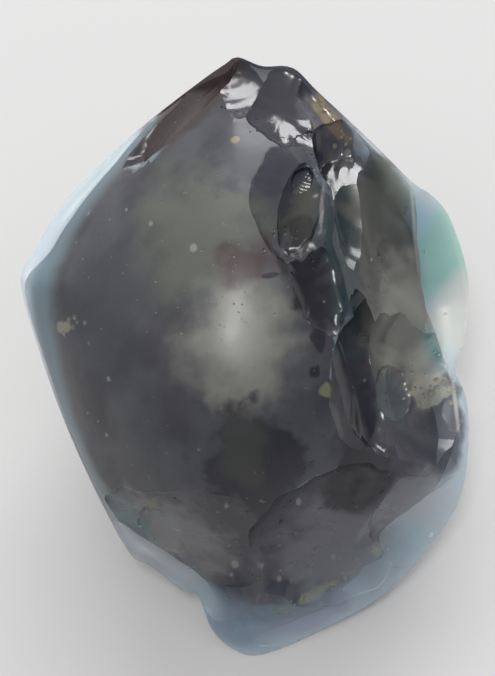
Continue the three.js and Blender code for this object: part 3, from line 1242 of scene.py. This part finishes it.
@dataclass(frozen=True)
class TektiteGlass:
    """Dark blue-green natural glass: see-through where thin, glossy in fresh scars, dull on its skin.

    The skin's haze is the small share of light that the glass doesn't let in. thin is the span of
    thickness, in millimetres, over which a clear edge turns to the tinted one, and deep the span
    over which that turns to the dark body. deep_in_scars is deep's in the dark scars. The back is
    dark body outside an oval at back_at, of back_size, and back_fade is where that sets in, as
    shares of its size. A pattern is its cells to the metre and its layers, and even is what it gives
    on average. A span is where a pattern starts and stops giving its colour, and a swing is how far
    it moves what it changes.
    """

    name: str = "tektite_glass"
    index: float = 1.5
    clear_share: float = 0.85
    tint: Triple = (0.0, 0.27, 0.33)
    density: float = 320.0
    thin: Pair = (0.6, 2.4)
    deep: Pair = (3.5, 8.5)
    deep_in_scars: Pair = (0.8, 2.6)
    back_at: Triple = (0.0, 5.0, -26.0)
    back_size: Triple = (45.0, 60.0, 18.0)
    back_fade: Pair = (1.0, 0.85)
    mottle: Pair = (160.0, 4.0)
    grain: Pair = (900.0, 3.0)
    cloud: Pair = (300.0, 3.0)
    even: float = 0.5
    clear_colour: Triple = (0.84, 0.94, 1.0)
    edge_colour: Triple = (0.64, 0.87, 1.0)
    skin_colour: Triple = (0.32, 0.33, 0.36)
    fresh_colour: Triple = (0.08, 0.08, 0.12)
    mottle_colour: Triple = (0.16, 0.16, 0.20)
    mottle_span: Pair = (0.35, 0.7)
    crust_colours: tuple[Triple, Triple] = ((0.90, 0.86, 0.70), (0.80, 0.66, 0.42))
    crust_span: Pair = (0.4, 0.6)
    speck_span: Pair = (0.70, 0.76)
    speck_share: float = 0.5
    stain_swing: float = 4.0
    skin_roughness: float = 0.36
    fresh_roughness: float = 0.15
    crust_roughness: float = 0.70
    roughness_swing: float = 0.25
    bump_strength: float = 0.35
    bump_height: float = 0.05 * MM

    def marks(self, sheet: NodeSheet, face_origin: Vector, stance: FaceFrame) -> Marks:
        """Read the mesh's marks and set up the patterns.

        Args:
            sheet: where the nodes go.
            face_origin: where the face's frame starts, in metres.
            stance: how the face leans.

        Returns:
            The marks.
        """
        place = sheet.add("ShaderNodeTexCoord").outputs["Object"]
        lean = (math.pi / 2 - stance.lean, 0.0, 0.0)
        return Marks(
            face=sheet.framed(place, face_origin, lean, (MM, MM, MM)),
            fresh=sheet.attribute("fresh"),
            crust=sheet.attribute("crust"),
            thick=sheet.attribute("thick"),
            dark=sheet.attribute("dark"),
            mottle=sheet.noise(place, *self.mottle),
            grain=sheet.noise(place, *self.grain),
            cloud=sheet.maths("SUBTRACT", sheet.noise(place, *self.cloud), self.even),
        )

    def body_share(self, sheet: NodeSheet, marks: Marks) -> Socket:
        """Work out where the glass is too thick to look through.

        Args:
            sheet: where the nodes go.
            marks: what the glass is mixed from.

        Returns:
            How much of its colour is the dark body's, from 0 to 1.
        """
        struck = sheet.maths("MULTIPLY", marks.dark, sheet.ramped(marks.thick, *self.deep_in_scars))
        share = sheet.maths("MAXIMUM", sheet.ramped(marks.thick, *self.deep), struck)
        unturned = (0.0, 0.0, 0.0)
        oval = sheet.framed(marks.face, Vector(self.back_at), unturned, self.back_size)
        back = sheet.ramped(sheet.length(oval), *self.back_fade)
        return sheet.maths("MAXIMUM", share, back)

    def stained(self, sheet: NodeSheet, marks: Marks, colour: Socket, stain: Stain) -> Socket:
        """Lay one stain over a colour.

        Args:
            sheet: where the nodes go.
            marks: what the glass is mixed from.
            colour: the colour so far.
            stain: the stain.

        Returns:
            The stained colour.
        """
        turn = (0.0, 0.0, -math.radians(stain.turn))
        off = sheet.length(sheet.framed(marks.face, Vector(stain.at), turn, stain.size))
        wander = sheet.maths("MULTIPLY", marks.cloud, self.stain_swing * stain.ragged)
        off = sheet.maths("ADD", off, wander)
        inside = sheet.ramped(off, 1.0 + stain.soft / 2, 1.0 - stain.soft / 2)
        share = sheet.maths("MULTIPLY", inside, stain.share)
        return sheet.mix_colour(share, colour, stain.colour)

    def colour(self, sheet: NodeSheet, marks: Marks) -> Socket:
        """Mix the colour, from the body out to the crust.

        Args:
            sheet: where the nodes go.
            marks: what the glass is mixed from.

        Returns:
            The colour.
        """
        body = sheet.mix_colour(marks.fresh, self.skin_colour, self.fresh_colour)
        mottled = sheet.ramped(marks.mottle, *self.mottle_span)
        body = sheet.mix_colour(mottled, body, self.mottle_colour)
        clear = sheet.ramped(marks.thick, *self.thin)
        edge = sheet.mix_colour(clear, self.clear_colour, self.edge_colour)
        colour = sheet.mix_colour(self.body_share(sheet, marks), edge, body)
        for stain in STAINS + SPECKS:
            colour = self.stained(sheet, marks, colour, stain)
        # Pale specks on the finest pattern, partly dust and partly painted glints.
        specks = sheet.ramped(marks.grain, *self.speck_span)
        specks = sheet.maths("MULTIPLY", specks, self.speck_share)
        colour = sheet.mix_colour(specks, colour, self.crust_colours[0])
        mineral = sheet.ramped(marks.grain, *self.crust_span)
        mineral = sheet.mix_colour(mineral, *self.crust_colours)
        return sheet.mix_colour(marks.crust, colour, mineral)

    def roughness(self, sheet: NodeSheet, marks: Marks) -> Socket:
        """Work out the roughness, which the mottling swings a little.

        Args:
            sheet: where the nodes go.
            marks: what the glass is mixed from.

        Returns:
            The roughness.
        """
        rough = sheet.mix_number(marks.fresh, self.skin_roughness, self.fresh_roughness)
        swing = sheet.maths("SUBTRACT", marks.mottle, self.even)
        swing = sheet.maths("MULTIPLY", swing, self.roughness_swing)
        rough = sheet.maths("ADD", rough, swing)
        return sheet.mix_number(marks.crust, rough, self.crust_roughness)

    def unevenness(self, sheet: NodeSheet, marks: Marks) -> Socket:
        """Give the surface its finest unevenness.

        Args:
            sheet: where the nodes go.
            marks: what the glass is mixed from.

        Returns:
            The way that the surface faces.
        """
        bump = sheet.add("ShaderNodeBump")
        bump.inputs["Strength"].default_value = self.bump_strength
        bump.inputs["Distance"].default_value = self.bump_height
        sheet.join(sheet.maths("ADD", marks.grain, marks.mottle), bump.inputs["Height"])
        return bump.outputs["Normal"]

    def material(self, face_origin: Vector, stance: FaceFrame) -> bpy.types.Material:
        """Make the glass's material.

        Args:
            face_origin: where the face's frame starts, in metres.
            stance: how the face leans.

        Returns:
            The material.
        """
        material = bpy.data.materials.new(self.name)
        material.use_nodes = True
        sheet = NodeSheet(material.node_tree)
        out = sheet.add("ShaderNodeOutputMaterial")
        shader = sheet.add("ShaderNodeBsdfPrincipled")
        shader.inputs["IOR"].default_value = self.index
        shader.inputs["Transmission Weight"].default_value = self.clear_share
        marks = self.marks(sheet, face_origin, stance)
        sheet.join(self.colour(sheet, marks), shader.inputs["Base Color"])
        sheet.join(self.roughness(sheet, marks), shader.inputs["Roughness"])
        sheet.join(self.unevenness(sheet, marks), shader.inputs["Normal"])
        depth = sheet.add("ShaderNodeVolumeAbsorption")
        depth.inputs["Color"].default_value = (*self.tint, 1.0)
        depth.inputs["Density"].default_value = self.density
        sheet.join(shader.outputs["BSDF"], out.inputs["Surface"])
        sheet.join(depth.outputs["Volume"], out.inputs["Volume"])
        return material


@dataclass(frozen=True)
class Lamp:
    """A soft lamp that looks at the lump.

    way is the way from the lump to it, distance how far off it hangs, and size its width and height.
    glow is how bright it looks, where a white wall in full light is 1.
    """

    name: str
    way: Triple
    distance: float
    size: Pair
    glow: float


LAMPS = (
    Lamp("lamp_near", (-0.11, -0.2, 0.98), 1.0, (0.26, 0.26), 21.0),
    Lamp("lamp_far", (0.05, 0.80, 0.60), 1.2, (1.0, 0.40), 11.0),
)


@dataclass(frozen=True)
class Studio:
    """The pale floor, the sky and the soft lamps.

    The sky is brightest towards bright_way. sky_span is how far towards it, from -1 to 1, the sky
    starts and stops to brighten. aim is the middle of the lump, which the lamps look at.
    """

    floor_size: float = 3.0
    floor_colour: Triple = (0.46, 0.455, 0.45)
    floor_roughness: float = 0.9
    bright_way: Triple = (-0.3, 0.5, 0.8)
    sky_span: Pair = (-0.35, 0.85)
    sky_dark: Triple = (0.16, 0.17, 0.24)
    sky_bright: Triple = (0.92, 0.92, 0.92)
    aim: Triple = (0.0, 0.0, 0.02)
    view_transform: str = "Standard"

    def floor(self) -> bpy.types.Object:
        """Make the floor.

        Returns:
            The floor.
        """
        shape = bmesh.new()
        bmesh.ops.create_grid(shape, x_segments=1, y_segments=1, size=self.floor_size / 2)
        mesh = bpy.data.meshes.new("floor")
        shape.to_mesh(mesh)
        shape.free()
        material = bpy.data.materials.new("floor")
        material.use_nodes = True
        shader = material.node_tree.nodes["Principled BSDF"]
        shader.inputs["Base Color"].default_value = (*self.floor_colour, 1.0)
        shader.inputs["Roughness"].default_value = self.floor_roughness
        mesh.materials.append(material)
        floor = bpy.data.objects.new("floor", mesh)
        bpy.context.scene.collection.objects.link(floor)
        return floor

    def hang(self, lamp: Lamp) -> None:
        """Hang a lamp.

        Args:
            lamp: the lamp.
        """
        light = bpy.data.lights.new(lamp.name, "AREA")
        light.shape = "RECTANGLE"
        light.size, light.size_y = lamp.size
        light.energy = lamp.glow * math.pi * lamp.size[0] * lamp.size[1]
        way = Vector(lamp.way)
        holder = bpy.data.objects.new(lamp.name, light)
        holder.location = way.normalized() * lamp.distance + Vector(self.aim)
        holder.rotation_euler = way.to_track_quat("Z", "Y").to_euler()
        bpy.context.scene.collection.objects.link(holder)

    def sky(self) -> bpy.types.World:
        """Make the sky.

        Returns:
            The world that holds it.
        """
        world = bpy.data.worlds.new("sky")
        world.use_nodes = True
        sheet = NodeSheet(world.node_tree)
        towards = sheet.add("ShaderNodeVectorMath")
        towards.operation = "DOT_PRODUCT"
        towards.inputs[1].default_value = Vector(self.bright_way).normalized()
        sheet.join(sheet.add("ShaderNodeTexCoord").outputs["Generated"], towards.inputs[0])
        share = sheet.ramped(towards.outputs["Value"], *self.sky_span)
        sky = sheet.add("ShaderNodeBackground")
        sheet.join(sheet.mix_colour(share, self.sky_dark, self.sky_bright), sky.inputs["Color"])
        out = sheet.add("ShaderNodeOutputWorld")
        sheet.join(sky.outputs["Background"], out.inputs["Surface"])
        return world

    def build(self) -> None:
        """Set up the floor, the sky and the lamps."""
        self.floor()
        scene = bpy.context.scene
        scene.world = self.sky()
        scene.view_settings.view_transform = self.view_transform
        for lamp in LAMPS:
            self.hang(lamp)


@dataclass(frozen=True)
class Viewpoint:
    """The camera, in front of the domed face.

    lens and sensor are in millimetres on the camera, and clip_from is how near it starts to see.
    """

    stance: FaceFrame
    face_centre: Vector
    distance: float = 199.5 * MM
    lens: float = 85.0
    sensor: float = 36.0
    clip_from: float = 0.01

    def build(self) -> bpy.types.Object:
        """Place the camera and make it the scene's own.

        Returns:
            The camera.
        """
        data = bpy.data.cameras.new("camera")
        data.lens = self.lens
        data.sensor_width = self.sensor
        data.clip_start = self.clip_from
        camera = bpy.data.objects.new("camera", data)
        way = self.stance.outward()
        camera.location = self.face_centre + way * self.distance
        camera.rotation_euler = way.to_track_quat("Z", "Y").to_euler()
        bpy.context.scene.collection.objects.link(camera)
        bpy.context.scene.camera = camera
        return camera


def main() -> None:
    """Build the lump, the studio and the camera."""
    logging.basicConfig(level=logging.INFO, format="%(message)s")
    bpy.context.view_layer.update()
    lump = Lump()
    piece = lump.build()
    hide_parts("tektite")
    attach(piece, "root")
    LOG.info("%s: %d faces", piece.name, len(piece.data.polygons))
    Studio().build()
    Viewpoint(lump.stance, lump.face_origin() * MM).build()


if __name__ == "__main__":
    main()
